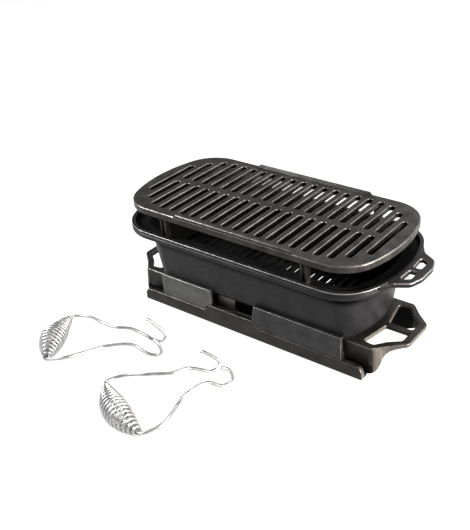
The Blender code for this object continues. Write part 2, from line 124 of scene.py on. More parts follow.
def clean(item, weld=0.01, sliver=0.005, flat_angle=1.0):
    """Weld doubles and merge coplanar faces left by booleans."""
    bm = bmesh.new()
    bm.from_mesh(item.data)
    bmesh.ops.remove_doubles(bm, verts=bm.verts, dist=weld * MM)
    flat = math.radians(flat_angle)
    bmesh.ops.dissolve_limit(bm, angle_limit=flat, verts=bm.verts, edges=bm.edges)
    bmesh.ops.dissolve_degenerate(bm, edges=bm.edges, dist=sliver * MM)
    bmesh.ops.delete(bm, geom=[edge for edge in bm.edges if not edge.link_faces], context="EDGES")
    bm.to_mesh(item.data)
    bm.free()


def soften(item, width, segments, angle, edge_slot):
    """Round a casting's edges sharper than an angle, put the roundings in edge_slot, and smooth it."""
    bevel = item.modifiers.new("edge_round", "BEVEL")
    bevel.width = width * MM
    bevel.segments = segments
    bevel.limit_method = "ANGLE"
    bevel.angle_limit = math.radians(angle)
    bevel.miter_outer = "MITER_ARC"
    bevel.material = edge_slot
    bake_modifiers(item)
    return smooth(item)


def smooth(item, angle=50.0):
    """Shade smooth, keep edges sharper than the angle, and weight the normals by face area."""
    item.data.shade_smooth()
    item.data.set_sharp_from_angle(angle=math.radians(angle))
    normals = item.modifiers.new("weighted_normals", "WEIGHTED_NORMAL")
    normals.keep_sharp = True
    normals.weight = 80
    bake_modifiers(item)
    return item


def loft(rings, wrap=False):
    """Skin rings of 3-D points; wrap joins the last ring to the first, otherwise the ends are capped."""
    bm = bmesh.new()
    grid = [[bm.verts.new(point) for point in ring] for ring in rings]
    pairs = list(zip(grid, grid[1:]))
    if wrap:
        pairs.append((grid[-1], grid[0]))
    for lower, upper in pairs:
        for i in range(len(lower)):
            j = (i + 1) % len(lower)
            bm.faces.new((lower[i], lower[j], upper[j], upper[i]))
    if not wrap:
        bm.faces.new(grid[0][::-1])
        bm.faces.new(grid[-1])
    return bm


def prism(outline, low, high):
    """Prism of an (x, y) outline along Z."""
    return loft([[(x, y, z) for x, y in outline] for z in (low, high)])


def along_x(outline, start, end):
    """Prism of a (y, z) outline along X."""
    return loft([[(s, a, b) for a, b in outline] for s in (start, end)])


def along_y(outline, start, end):
    """Prism of an (x, z) outline along Y."""
    return loft([[(a, s, b) for a, b in outline] for s in (start, end)])


def box(low, high):
    outline = [(low[0], low[1]), (high[0], low[1]), (high[0], high[1]), (low[0], high[1])]
    return prism(outline, low[2], high[2])


def arc(centre, radius, start, end, steps):
    points = []
    for i in range(steps + 1):
        angle = math.radians(start + (end - start) * i / steps)
        points.append((centre[0] + radius * math.cos(angle), centre[1] + radius * math.sin(angle)))
    return points


def rounded(corners, steps=8):
    """Polygon whose corners (x, y, radius) are rounded by arcs."""
    points = []
    for i, (x, y, radius) in enumerate(corners):
        here = Vector((x, y))
        before = (Vector(corners[i - 1][:2]) - here).normalized()
        after = (Vector(corners[(i + 1) % len(corners)][:2]) - here).normalized()
        if radius <= 0:
            points.append((x, y))
            continue
        half = before.angle(after) / 2
        centre = here + (before + after).normalized() * radius / math.sin(half)
        first = here + before * radius / math.tan(half) - centre
        last = here + after * radius / math.tan(half) - centre
        turn = first.angle_signed(last)
        points += [tuple(centre + Matrix.Rotation(-turn * k / steps, 2) @ first) for k in range(steps + 1)]
    return points


def mirrored(points, sx, sy):
    """Mirror (x, y) points and keep their turning sense."""
    flipped = [(x * sx, y * sy) for x, y in points]
    return flipped if sx * sy > 0 else flipped[::-1]


def oval(inset, end_trim=0.0, steps=24, end_steps=14, side_steps=12):
    """The rim's outline moved inward: straight sides, corner arcs and bulged ends."""
    radius = RIM_CORNER_RADIUS - inset
    reach = RIM_HALF_LENGTH - inset - end_trim - radius
    end_x = (reach ** 2 - CORNER_X ** 2 - CORNER_Y ** 2) / (2 * (reach - CORNER_X))
    end_radius = reach + radius - end_x
    meet = math.degrees(math.atan2(CORNER_Y, CORNER_X - end_x))
    quarter = arc((end_x, 0), end_radius, 0, meet, end_steps)[:-1]
    quarter += arc((CORNER_X, CORNER_Y), radius, meet, 90, steps)
    top = CORNER_Y + radius
    side = [(CORNER_X - 2 * CORNER_X * k / side_steps, top) for k in range(1, side_steps)]
    upper = quarter + side + [(-x, y) for x, y in quarter[::-1]]
    return upper + [(x, -y) for x, y in upper[1:-1][::-1]]


def slot(x, low, high, width, steps=12):
    """Outline of a slot along Y with round ends."""
    radius = width / 2
    far_end = arc((x, high - radius), radius, 0, 180, steps)
    near_end = arc((x, low + radius), radius, 180, 360, steps)
    return far_end + near_end


def pierced_plate(name, outline, holes, low, high, edge, materials):
    """Plate with holes and rounded edges, made as a filled curve; the upper rounding is worn."""
    middle = (low + high) / 2 * MM
    curve = bpy.data.curves.new(name, "CURVE")
    curve.dimensions = "2D"
    curve.fill_mode = "BOTH"
    for loop in [outline] + holes:
        spline = curve.splines.new("POLY")
        spline.points.add(len(loop) - 1)
        for point, (x, y) in zip(spline.points, loop):
            point.co = (x * MM, y * MM, 0, 1)
        spline.use_cyclic_u = True
    curve.extrude = ((high - low) / 2 - edge) * MM
    curve.bevel_depth = edge * MM
    curve.bevel_resolution = 2
    curve.offset = -edge * MM
    holder = bpy.data.objects.new(name + "_curve", curve)
    bpy.context.scene.collection.objects.link(holder)
    graph = bpy.context.evaluated_depsgraph_get()
    mesh = bpy.data.meshes.new_from_object(holder.evaluated_get(graph))
    bpy.data.objects.remove(holder, do_unlink=True)
    bm = bmesh.new()
    bm.from_mesh(mesh)
    bmesh.ops.remove_doubles(bm, verts=bm.verts, dist=0.002 * MM)
    bmesh.ops.translate(bm, vec=(0, 0, middle), verts=bm.verts)
    bmesh.ops.recalc_face_normals(bm, faces=bm.faces)
    for face in bm.faces:
        slanted = 0.2 < abs(face.normal.z) < 0.985
        upper = face.calc_center_median().z > middle
        face.material_index = WORN if slanted and upper else PLAIN
    bm.to_mesh(mesh)
    bm.free()
    item = bpy.data.objects.new(name, mesh)
    bpy.context.scene.collection.objects.link(item)
    mesh.materials.clear()
    for material in materials:
        mesh.materials.append(material)
    return item


# ---------------------------------------------------------------- materials

# Noise scales of cast iron: mottled oil film, bright specks, sand grain and shallow pits
FILM_SCALE = 38
SPECK_SCALE = 700
SAND_SCALE = 1500
PIT_SCALE = 190
# Painted shadow: colour of the iron in the shade under an overhang
PAINTED_SHADOW_BLACK = (0.001, 0.001, 0.001)
# Noise scales of nickel: haze and fine grain
HAZE_SCALE = 120
NICKEL_GRAIN_SCALE = 900


def node(tree, kind, **values):
    """Add a node; a value goes to the input of that name, or else to the node's own property."""
    made = tree.nodes.new(kind)
    for key, value in values.items():
        if key in made.inputs:
            made.inputs[key].default_value = value
        else:
            setattr(made, key, value)
    return made


def noise(tree, coords, scale, detail, roughness=0.55):
    made = node(tree, "ShaderNodeTexNoise", Scale=scale, Detail=detail, Roughness=roughness)
    tree.links.new(coords, made.inputs["Vector"])
    return made.outputs["Fac"]


def spread(tree, value, low, high, out_low, out_high):
    """Map a value's range low to high onto out_low to out_high."""
    made = tree.nodes.new("ShaderNodeMapRange")
    made.inputs["From Min"].default_value = low
    made.inputs["From Max"].default_value = high
    made.inputs["To Min"].default_value = out_low
    made.inputs["To Max"].default_value = out_high
    tree.links.new(value, made.inputs["Value"])
    return made.outputs["Result"]


def mix_colour(tree, factor, first, second):
    """Mix two colours, each given as an RGB tuple or as a socket."""
    made = tree.nodes.new("ShaderNodeMix")
    made.data_type = "RGBA"
    for socket, value in (("A", first), ("B", second)):
        target = [s for s in made.inputs if s.name == socket and s.type == "RGBA"][0]
        if isinstance(value, tuple):
            target.default_value = (*value, 1.0)
        else:
            tree.links.new(value, target)
    tree.links.new(factor, [s for s in made.inputs if s.name == "Factor" and s.type == "VALUE"][0])
    return [s for s in made.outputs if s.type == "RGBA"][0]


def cast_iron(name, dark, light, roughness, metallic, grain, pits, specular=0.5,
              painted_shadow_band=None, end_highlight=None):
    """Seasoned iron: mottled oil film, sand-cast grain and shallow pits (both depths in millimetres).

    A band of heights (low, full, top, end) may be given, where the iron is painted black and dull: painted
    shadow under an overhang.
    A colour may be given for the surfaces that face along the grill: a painted highlight that lightens them
    as if lit from the side.
    """
    material = bpy.data.materials.new(name)
    material.use_nodes = True
    tree = material.node_tree
    shader = tree.nodes["Principled BSDF"]
    coords = tree.nodes.new("ShaderNodeTexCoord").outputs["Object"]
    film = noise(tree, coords, FILM_SCALE, 6, 0.6)
    speck = noise(tree, coords, SPECK_SCALE, 3, 0.6)
    sand = noise(tree, coords, SAND_SCALE, 2, 0.7)
    pit = noise(tree, coords, PIT_SCALE, 4, 0.6)
    mottled = mix_colour(tree, spread(tree, film, 0.36, 0.66, 0, 1), dark, light)
    bright = tuple(min(1.0, c * 1.7 + 0.01) for c in light)
    flecked = mix_colour(tree, spread(tree, speck, 0.62, 0.78, 0, 0.7), mottled, bright)
    # Painted highlight: surfaces facing along X are lightened toward a warm grey
    if end_highlight:
        facing = tree.nodes.new("ShaderNodeSeparateXYZ")
        normal = tree.nodes.new("ShaderNodeNewGeometry").outputs["Normal"]
        tree.links.new(normal, facing.inputs["Vector"])
        along = node(tree, "ShaderNodeMath", operation="ABSOLUTE")
        tree.links.new(facing.outputs["X"], along.inputs[0])
        end_highlight_share = spread(tree, along.outputs[0], 0.45, 0.85, 0, 1)
        flecked = mix_colour(tree, end_highlight_share, flecked, end_highlight)
    # Painted shadow: the iron goes black and loses its gloss in a band of heights
    if painted_shadow_band:
        low, full, top, end = (height * MM for height in painted_shadow_band)
        split = tree.nodes.new("ShaderNodeSeparateXYZ")
        tree.links.new(coords, split.inputs["Vector"])
        rise = spread(tree, split.outputs["Z"], low, full, 1.0, 0.0)
        fall = spread(tree, split.outputs["Z"], top, end, 0.0, 1.0)
        outside_painted_shadow = node(tree, "ShaderNodeMath", operation="MAXIMUM")
        tree.links.new(rise, outside_painted_shadow.inputs[0])
        tree.links.new(fall, outside_painted_shadow.inputs[1])
        flecked = mix_colour(tree, outside_painted_shadow.outputs[0], PAINTED_SHADOW_BLACK, flecked)
        gloss = spread(tree, outside_painted_shadow.outputs[0], 0, 1, 0.0, specular)
        tree.links.new(gloss, shader.inputs["Specular IOR Level"])
    tree.links.new(flecked, shader.inputs["Base Color"])
    rough = spread(tree, pit, 0.3, 0.7, roughness - 0.09, roughness + 0.1)
    tree.links.new(rough, shader.inputs["Roughness"])
    shader.inputs["Metallic"].default_value = metallic
    shader.inputs["Specular IOR Level"].default_value = specular
    fine = node(tree, "ShaderNodeBump", Strength=0.55, Distance=grain * MM)
    tree.links.new(sand, fine.inputs["Height"])
    coarse = node(tree, "ShaderNodeBump", Strength=0.5, Distance=pits * MM)
    tree.links.new(pit, coarse.inputs["Height"])
    tree.links.new(fine.outputs["Normal"], coarse.inputs["Normal"])
    tree.links.new(coarse.outputs["Normal"], shader.inputs["Normal"])
    return material


def nickel(name):
    """Nickel-plated wire: soft reflections, a fine grain and a slight haze."""
    material = bpy.data.materials.new(name)
    material.use_nodes = True
    tree = material.node_tree
    shader = tree.nodes["Principled BSDF"]
    coords = tree.nodes.new("ShaderNodeTexCoord").outputs["Object"]
    haze = noise(tree, coords, HAZE_SCALE, 4)
    share = spread(tree, haze, 0.35, 0.65, 0, 1)
    tint = mix_colour(tree, share, (0.35, 0.352, 0.355), (0.48, 0.482, 0.485))
    tree.links.new(tint, shader.inputs["Base Color"])
    tree.links.new(spread(tree, haze, 0.3, 0.7, 0.3, 0.42), shader.inputs["Roughness"])
    shader.inputs["Metallic"].default_value = 1.0
    bump = node(tree, "ShaderNodeBump", Strength=0.25, Distance=0.05 * MM)
    tree.links.new(noise(tree, coords, NICKEL_GRAIN_SCALE, 2), bump.inputs["Height"])
    tree.links.new(bump.outputs["Normal"], shader.inputs["Normal"])
    return material


GRATE_IRON = cast_iron("grate_iron", (0.006, 0.0058, 0.0055), (0.03, 0.0286, 0.027),
                       roughness=0.46, metallic=0.5, grain=0.3, pits=0.6, specular=0.28)
GRATE_EDGE = cast_iron("grate_edge", (0.09, 0.087, 0.083), (0.18, 0.172, 0.162),
                       roughness=0.3, metallic=0.9, grain=0.08, pits=0.12)
# The bowl's iron is painted black and dull, as shadow, in a band under the rim's overhang
BOWL_IRON = cast_iron("bowl_iron", (0.006, 0.006, 0.0067), (0.012, 0.012, 0.0137),
                      roughness=0.42, metallic=0.2, grain=0.1, pits=0.12, specular=0.14,
                      painted_shadow_band=(105.0, 114.5, 133.2, 134.6))
RIM_EDGE = cast_iron("rim_edge", (0.14, 0.138, 0.135), (0.26, 0.25, 0.24),
                     roughness=0.32, metallic=0.85, grain=0.06, pits=0.1)
# Bright iron for the base's worn edges, also used as painted light on the mullion between the ports
BASE_WORN_AND_LIT_IRON = cast_iron("base_worn_and_lit_iron", (0.06, 0.058, 0.055), (0.13, 0.125, 0.12),
                      roughness=0.34, metallic=0.85, grain=0.08, pits=0.12)
# Soot black: real soot in the bowl, and painted shade in the base's tray, channel and end cavities
SOOT_AND_SHADE_IRON = cast_iron("soot_and_shade_iron", (0.002, 0.002, 0.002), (0.005, 0.005, 0.005),
                      roughness=0.75, metallic=0.0, grain=0.14, pits=0.3, specular=0.04)
# The base's iron has a painted highlight on the faces that point along the grill
BASE_IRON = cast_iron("base_iron", (0.010, 0.0095, 0.009), (0.022, 0.0205, 0.019),
                      roughness=0.4, metallic=0.45, grain=0.14, pits=0.25, specular=0.18,
                      end_highlight=(0.11, 0.1, 0.09))
DOOR_IRON = cast_iron("door_iron", (0.017, 0.017, 0.0175), (0.035, 0.035, 0.036),
                      roughness=0.36, metallic=0.6, grain=0.12, pits=0.18, specular=0.25)
# Painted light: the left door takes a lighter copy of the door iron, as if lit more from the left
LIT_LEFT_DOOR_IRON = cast_iron("lit_left_door_iron", (0.04, 0.04, 0.04), (0.078, 0.077, 0.076),
                           roughness=0.36, metallic=0.6, grain=0.14, pits=0.2, specular=0.3)
DOOR_EDGE = cast_iron("door_edge", (0.12, 0.118, 0.115), (0.22, 0.215, 0.21),
                      roughness=0.34, metallic=0.85, grain=0.06, pits=0.1)
COAL_IRON = cast_iron("coal_iron", (0.0025, 0.0025, 0.0025), (0.006, 0.006, 0.006),
                      roughness=0.6, metallic=0.05, grain=0.14, pits=0.3, specular=0.07)
NICKEL = nickel("nickel_wire")


# ---------------------------------------------------------------- cooking grate

# Slots: two rows of columns along X, and one long slot near each end
SLOT_PITCH = 19.0
SLOT_WIDTH = 9.5
SLOT_INNER_Y = 5.3
SLOT_OUTER_Y = 89.9
SLOT_COLUMNS = 9
# Columns next to the round ends have slots shorter by this much
SLOT_SHORTENING = {8: 3.0, 9: 17.0}
END_SLOT_COLUMN = 10
END_SLOT_HALF_LENGTH = 51.9
# At its lower face a slot is wider by this much all round
SLOT_DRAFT = 1.2
LIP_WIDTH = 7.0
# Places along the lip, and how much of its height is lost there
LIP_STATIONS = ((-98.5, 3.9), (-97, 2.2), (-94.5, 0.0), (103.5, 0.0), (106, 2.2), (107.5, 3.9))
LEG_X = 121.6
LEG_Y = 97.0


def bm_ring(bm, outline, z):
    return [bm.verts.new((x, y, z)) for x, y in outline]


def drafted_plate(name, outline_rings, slots, high, low, materials, edge=1.0):
    """Slotted casting whose slots open downward and have rounded upper edges.

    outline_rings run as (outline, height) from the top edge to the bottom edge. Each slot is
    (x, low, high, width). Faces of the upper rounded edges take the worn slot.
    """
    bm = bmesh.new()
    loops = [[bm_ring(bm, outline, z) for outline, z in outline_rings]]
    for x, start, end, width in slots:
        rings = []
        for k in range(ROUND_STEPS + 1):
            turn = math.radians(90 * k / ROUND_STEPS)
            rings.append((edge * (1 - math.sin(turn)), high - edge * (1 - math.cos(turn))))
        rings.append((SLOT_DRAFT, low))
        levels = []
        for grow, z in rings:
            levels.append(bm_ring(bm, slot(x, start - grow, end + grow, width + 2 * grow), z))
        loops.append(levels)
    for levels in loops:
        for k, (upper, lower) in enumerate(zip(levels, levels[1:])):
            for i in range(len(upper)):
                j = (i + 1) % len(upper)
                face = bm.faces.new((lower[i], lower[j], upper[j], upper[i]))
                face.smooth = True
                face.material_index = WORN if k < ROUND_STEPS else PLAIN
    for pick in (0, -1):
        edges = []
        for levels in loops:
            ring = levels[pick]
            edges += [bm.edges.get((vert, ring[(i + 1) % len(ring)])) for i, vert in enumerate(ring)]
        bmesh.ops.triangle_fill(bm, edges=edges, use_beauty=True, use_dissolve=False)
    return new_object(name, bm, materials)


def rounded_edge_rings(outline_at, high, low, edge):
    """Rings down a plate's outer side with both edges rounded; outline_at(inset) gives the outline."""
    rings = []
    for k in range(ROUND_STEPS + 1):
        turn = math.radians(90 * k / ROUND_STEPS)
        rings.append((outline_at(edge * (1 - math.sin(turn))), high - edge * (1 - math.cos(turn))))
    for k in range(ROUND_STEPS + 1):
        turn = math.radians(90 * k / ROUND_STEPS)
        rings.append((outline_at(edge * (1 - math.cos(turn))), low + edge * (1 - math.sin(turn))))
    return rings


def grate_slots():
    slots = []
    for column in range(-SLOT_COLUMNS, SLOT_COLUMNS + 1):
        outer = SLOT_OUTER_Y - SLOT_SHORTENING.get(abs(column), 0.0)
        slots.append((column * SLOT_PITCH, SLOT_INNER_Y, outer, SLOT_WIDTH))
        slots.append((column * SLOT_PITCH, -outer, -SLOT_INNER_Y, SLOT_WIDTH))
    for side in (-1, 1):
        end_x = side * END_SLOT_COLUMN * SLOT_PITCH
        slots.append((end_x, -END_SLOT_HALF_LENGTH, END_SLOT_HALF_LENGTH, SLOT_WIDTH))
    return slots


def make_grate_lip(side):
    """Raised lip along one long edge: its inner side slopes, and it runs out at both ends."""
    edge = CORNER_Y + RIM_CORNER_RADIUS - GRATE_INSET
    root = GRATE_TOP - 4
    section = rounded([(edge - 0.2, root, 0), (edge - 0.2, GRATE_TOP + LIP_HEIGHT, 1.2),
                       (edge - 3.4, GRATE_TOP + LIP_HEIGHT, 1.1),
                       (edge - LIP_WIDTH, GRATE_TOP - 0.8, 0), (edge - LIP_WIDTH, root, 0)], 4)
    rings = []
    for x, drop in LIP_STATIONS:
        ring = []
        for y, z in section:
            rise = max(0.0, (z - GRATE_TOP + 0.8) / LIP_HEIGHT)
            ring.append((x, side * y, z - drop * rise))
        rings.append(ring)
    lip = new_object("lip", loft(rings), (GRATE_IRON, GRATE_EDGE))
    for polygon in lip.data.polygons:
        crest = polygon.center.z > (GRATE_TOP + LIP_HEIGHT - 1.2) * MM
        polygon.material_index = WORN if crest else PLAIN
    return lip


def make_grate_leg(x, y, side, root):
    """Channel-section leg: a web with two ribs that face outward, thicker toward its root."""
    corners = [(-5.5, -5, 1.5), (5.5, -5, 1.5), (5.5, 5, 1.2), (2.2, 5, 1.0), (2.0, 1.5, 1.0),
               (-2.0, 1.5, 1.0), (-2.2, 5, 1.0), (-5.5, 5, 1.2)]
    outline = [(px, side * py) for px, py in rounded(corners, 4)]
    if side < 0:
        outline = outline[::-1]
    levels = ((GRATE_FOOT, 0.9), (GRATE_FOOT + 1.0, 0.98), (root - 9, 1.02), (root - 5, 1.08),
              (root - 2, 1.2), (root + 2.5, 1.35))
    rings = []
    for z, grow in levels:
        rings.append([(x + px * grow, y + py * min(grow, 1.15), z) for px, py in outline])
    return new_object("leg", loft(rings))


def make_cooking_grate():
    low = GRATE_TOP - GRATE_THICKNESS
    web_low = GRATE_TOP - GRATE_WEB

    def outline_at(inset):
        return oval(GRATE_INSET + inset, GRATE_END_TRIM, 20, 12, 2)

    rings = rounded_edge_rings(outline_at, GRATE_TOP, low, 1.5)
    rings += [(outline_at(5.0), low + 0.5), (outline_at(5.8), web_low)]
    materials = (GRATE_IRON, GRATE_EDGE)
    grate = drafted_plate("cooking_grate_casting", rings, grate_slots(), GRATE_TOP, web_low, materials)
    for side in (-1, 1):
        boolean(grate, make_grate_lip(side), "UNION")
        for end in (-1, 1):
            boolean(grate, make_grate_leg(end * LEG_X, side * LEG_Y, side, web_low), "UNION")
    return smooth(grate, 40)


# ---------------------------------------------------------------- fire bowl

# Height of the bowl's foot in its profile
PROFILE_FOOT = 46.9
# Floors that close the ends of the open foot: along X, inside the rim's outline, and over the foot
END_FLOOR_X = (143.0, 190.0)
END_FLOOR_INSET = 49.0
END_FLOOR_HEIGHTS = (0.4, 4.6)
END_CUTTER_HALF_WIDTH = 150
# The handles: depths of their two faces under the rim's top, rounding of their edges, how far they
# reach into the rim band, and where along X they stand clear of it
HANDLE_DEPTHS = (6.8, 0.3)
HANDLE_EDGE = 1.2
HANDLE_INSET = 3.2
HANDLE_ROOT_X = 224.6


def bowl_profile():
    """Cross-section of the bowl's wall as (inset, height), down the outside and up the inside."""
    rim_band = [(0.3, 147.3, 0.7), (0.2, 145.9, 0.6), (2.6, 143.4, 1.8), (0.0, 140.6, 1.6),
                (0.2, 136.0, 2.0), (4.5, 134.2, 2.0), (27.0, 134.2, 3.0)]
    foot = [(39.3, 53.0, 5.0), (42.0, 48.6, 2.0), (45.5, PROFILE_FOOT, 1.2), (52.0, PROFILE_FOOT, 1.0),
            (52.0, 51.9, 1.0), (47.5, 52.2, 1.6)]
    inside = [(44.5, 60.0, 6.0), (33.0, 132.0, 5.0), (27.5, 140.4, 1.4), (6.9, 140.4, 0.8),
              (6.3, 147.3, 0.8)]
    return rounded(rim_band + foot + inside, 5)


def bowl_handle_outline(side):
    half = [(196, 62, 0), (213.0, 64.0, 6), (221.5, 49.0, 14), (243.5, 35.5, 13), (250.4, 15, 24)]
    corners = half + [(x, -y, r) for x, y, r in half[::-1]]
    return mirrored(rounded(corners, 10), side, 1)


def make_bowl_handle(side):
    """Pierced plate at one end of the rim, cut off within the rim band."""
    windows = []
    for across in (-1, 1):
        corners = [(227.0, 5.0, 2.5), (237.8, 5.0, 3), (237.8, 24.0, 5), (225.0, 33.0, 3)]
        windows.append(mirrored(rounded(corners), side, across))
    low, high = (RIM_TOP - depth for depth in HANDLE_DEPTHS)
    outline = bowl_handle_outline(side)
    handle = pierced_plate("handle", outline, windows, low, high, HANDLE_EDGE, (BOWL_IRON, RIM_EDGE))
    inner = new_object("inner", prism(oval(HANDLE_INSET), RIM_TOP - 20, RIM_TOP + 20))
    boolean(handle, inner, "DIFFERENCE")
    return handle


def make_end_floor(side):
    """Floor that closes one end of the bowl's open foot."""
    low_z, high_z = (BOWL_BOTTOM + height for height in END_FLOOR_HEIGHTS)
    floor = new_object("floor", prism(oval(END_FLOOR_INSET), low_z, high_z))
    low_x, high_x = sorted(side * x for x in END_FLOOR_X)
    width = END_CUTTER_HALF_WIDTH
    end = box((low_x, -width, BOWL_BOTTOM - 5), (high_x, width, BOWL_BOTTOM + 9))
    boolean(floor, new_object("end", end), "INTERSECT")
    return floor


def make_fire_bowl():
    shift = BOWL_BOTTOM - PROFILE_FOOT
    rings = [[(x, y, z + shift) for x, y in oval(inset)] for inset, z in bowl_profile()]
    bowl = new_object("fire_bowl_casting", loft(rings, wrap=True), (BOWL_IRON, RIM_EDGE, SOOT_AND_SHADE_IRON))
    # Inside faces of the bowl take the soot-black iron: real soot, deepened as painted shade
    for polygon in bowl.data.polygons:
        height = polygon.center.z / MM
        outward = polygon.center.xy.normalized().dot(polygon.normal.xy)
        inner_wall = outward < -0.05 and height < RIM_TOP - 1.0
        inner_floor = polygon.normal.z > 0.9 and height < RIM_TOP - 3.0
        if RIM_TOP - 1.6 < height and outward > 0.25:
            polygon.material_index = WORN
        elif inner_wall or inner_floor:
            polygon.material_index = SOOT_AND_SHADE
    for side in (-1, 1):
        boolean(bowl, make_bowl_handle(side), "UNION")
        boolean(bowl, make_end_floor(side), "UNION")
    for polygon in bowl.data.polygons:
        x, y, z = polygon.center / MM
        if abs(x) > 205 and abs(y) < 50 and z > RIM_TOP - 4.0:
            handle_edge = abs(x) > HANDLE_ROOT_X and 0.15 < polygon.normal.z < 0.97
            polygon.material_index = WORN if handle_edge else PLAIN
    return smooth(bowl, 45)


# ---------------------------------------------------------------- coal grate

COAL_THICKNESS = 9.0
COAL_HALF_LENGTH = 168.0
COAL_HALF_WIDTH = 62.0
COAL_CORNER_RADIUS = 14.0
COAL_COLUMNS = 10
COAL_PITCH = 14.25
COAL_SLOT_WIDTH = 7.6
COAL_SLOT_INNER_Y = 4.5
COAL_SLOT_OUTER_Y = 53.0
COAL_FOOT_X = 157.5
COAL_FOOT_Y = 44.0
COAL_FOOT_RADIUS = 4.6


def make_coal_grate():
    low = COAL_TOP - COAL_THICKNESS
    slots = []
    for column in range(-COAL_COLUMNS, COAL_COLUMNS + 1):
        x = column * COAL_PITCH
        slots.append((x, COAL_SLOT_INNER_Y, COAL_SLOT_OUTER_Y, COAL_SLOT_WIDTH))
        slots.append((x, -COAL_SLOT_OUTER_Y, -COAL_SLOT_INNER_Y, COAL_SLOT_WIDTH))

    def outline_at(inset):
        length, width = COAL_HALF_LENGTH - inset, COAL_HALF_WIDTH - inset
        corner = COAL_CORNER_RADIUS - inset
        return rounded([(length, width, corner), (-length, width, corner), (-length, -width, corner),
                        (length, -width, corner)])

    rings = rounded_edge_rings(outline_at, COAL_TOP, low, 1.2)
    materials = (COAL_IRON, COAL_IRON)
    coal = drafted_plate("coal_grate_casting", rings, slots, COAL_TOP, low, materials)
    circle = arc((0, 0), COAL_FOOT_RADIUS, 0, 337.5, 15)
    levels = ((COAL_FOOT, 0.82), (COAL_FOOT + 1, 1.0), (low - 2, 1.1), (low + 2, 1.6))
    for end in (-1, 1):
        for side in (-1, 1):
            x, y = end * COAL_FOOT_X, side * COAL_FOOT_Y
            rings = [[(x + px * grow, y + py * grow, z) for px, py in circle] for z, grow in levels]
            boolean(coal, new_object("foot", loft(rings)), "UNION")
    return smooth(coal, 40)


# ---------------------------------------------------------------- base

# Body between the two ends, and the ash tray in its middle
BODY_HALF_LENGTH = 186
WALL_THICKNESS = 5.0
TRAY_HALF_LENGTH = 140
TRAY_FLOOR = 5.0
# Top plates of the two ends, and the cavity under each along X
PLATE_THICKNESS = 6.6
END_CAVITY_X = (145.0, 208.0)
# Air ports in both long walls: their ends along X and the height of their sills
PORTS = ((-125, -60), (-27.5, 68))
PORT_SILL = 25.6
RAIL_CORNER_RADIUS = 11
# Under each handle's neck: outer and inner edge of the wall as (x, y), and the height of its foot
SKIRT_STATIONS = (
    ((180.0, 65.4), (180.0, 59.5), 0.0), ((190.0, 65.4), (190.0, 59.5), 0.6),
    ((198.0, 65.4), (196.0, 59.5), 3.0), ((203.0, 65.0), (199.4, 58.8), 5.4),
    ((206.6, 63.2), (202.2, 57.6), 7.2), ((209.4, 60.4), (204.0, 55.6), 9.4),
    ((211.4, 57.6), (206.0, 52.8), 13.6), ((213.4, 54.8), (208.0, 50.0), 19.6),
    ((215.6, 51.8), (210.4, 47.0), 26.6), ((218.6, 48.2), (213.4, 43.6), 33.0),
    ((222.4, 44.4), (217.2, 40.0), 36.4), ((227.4, 39.8), (222.4, 35.2), 38.2),
    ((233.4, 34.6), (228.6, 30.2), 39.6), ((239.4, 28.2), (234.6, 26.0), 40.4),
)
SKIRT_TOP = 43.0
# The foot of the skirt flares outward by this much between two places along X
SKIRT_FLARE = 2.0
FLARE_X = (198.0, 214.0)
# A face is part of a worn upper edge if its normal's height lies between these
WORN_TILT = (0.25, 0.93)


def base_plate_outline(side):
    half = [(142, 65.3, 0), (203, 65.3, 9), (221, 46.0, 30), (242.3, 27.5, 10)]
    corners = half + [(x, -y, r) for x, y, r in half[::-1]]
    return mirrored(rounded(corners, 8), side, 1)


def corner_skirt(sx, sy):
    """Wall under the neck of a handle: it comes down at the corner and sweeps up along the neck."""
    rings = []
    for outer, inner, low in SKIRT_STATIONS:
        flare = SKIRT_FLARE if FLARE_X[0] < outer[0] < FLARE_X[1] else 0.0
        out = (Vector(outer) - Vector(inner)).normalized() * flare
        foot = (outer[0] + out.x, outer[1] + out.y, low)
        points = [foot, (*outer, SKIRT_TOP), (*inner, SKIRT_TOP), (*inner, low)]
        rings.append([(x * sx, y * sy, z) for x, y, z in points])
    bm = loft(rings)
    bmesh.ops.triangulate(bm, faces=bm.faces)
    return bm


def cut_handle_window(base, side, across):
    corners = [(184.5, 52.0, 4), (194.0, 4.2, 3), (230.9, 4.2, 4), (230.9, 25.0, 8), (213.8, 38.5, 8),
               (201.4, 54.2, 5)]
    window = mirrored(rounded(corners, 6), side, across)
    cutter = prism(window, BASE_TOP - 12, BASE_TOP + OVERCUT)
    boolean(base, new_object("window", cutter), "DIFFERENCE")


def add_base_end(base, side):
    """One end of the base: open underneath, with corner skirts, a plate and a handle."""
    inside = BASE_WALL_Y - WALL_THICKNESS
    plate_low = BASE_TOP - PLATE_THICKNESS
    low, high = sorted(side * x for x in END_CAVITY_X)
    cavity = box((low, -inside, -OVERCUT), (high, inside, plate_low))
    boolean(base, new_object("under", cavity), "DIFFERENCE")
    for across in (-1, 1):
        boolean(base, new_object("skirt", corner_skirt(side, across)), "UNION")
    plate = prism(base_plate_outline(side), plate_low, BASE_TOP)
    boolean(base, new_object("plate", plate), "UNION")
    for across in (-1, 1):
        cut_handle_window(base, side, across)


def round_rail_corner(base, side):
    """Cut the rail's upper corner at one end to a quarter circle."""
    end = side * RAIL_HALF_LENGTH
    radius = RAIL_CORNER_RADIUS
    corner = [(end + side, RAIL_TOP + 1), (end + side, RAIL_TOP - radius)]
    for degrees in range(0, 91, 9):
        angle = math.radians(degrees)
        x = end - side * radius * (1 - math.cos(angle))
        corner.append((x, RAIL_TOP - radius + radius * math.sin(angle)))
    corner.append((end - side * radius, RAIL_TOP + 1))
    cutter = along_y(corner, RAIL_FRONT - OVERCUT, RAIL_BACK + 2)
    boolean(base, new_object("corner", cutter), "DIFFERENCE")


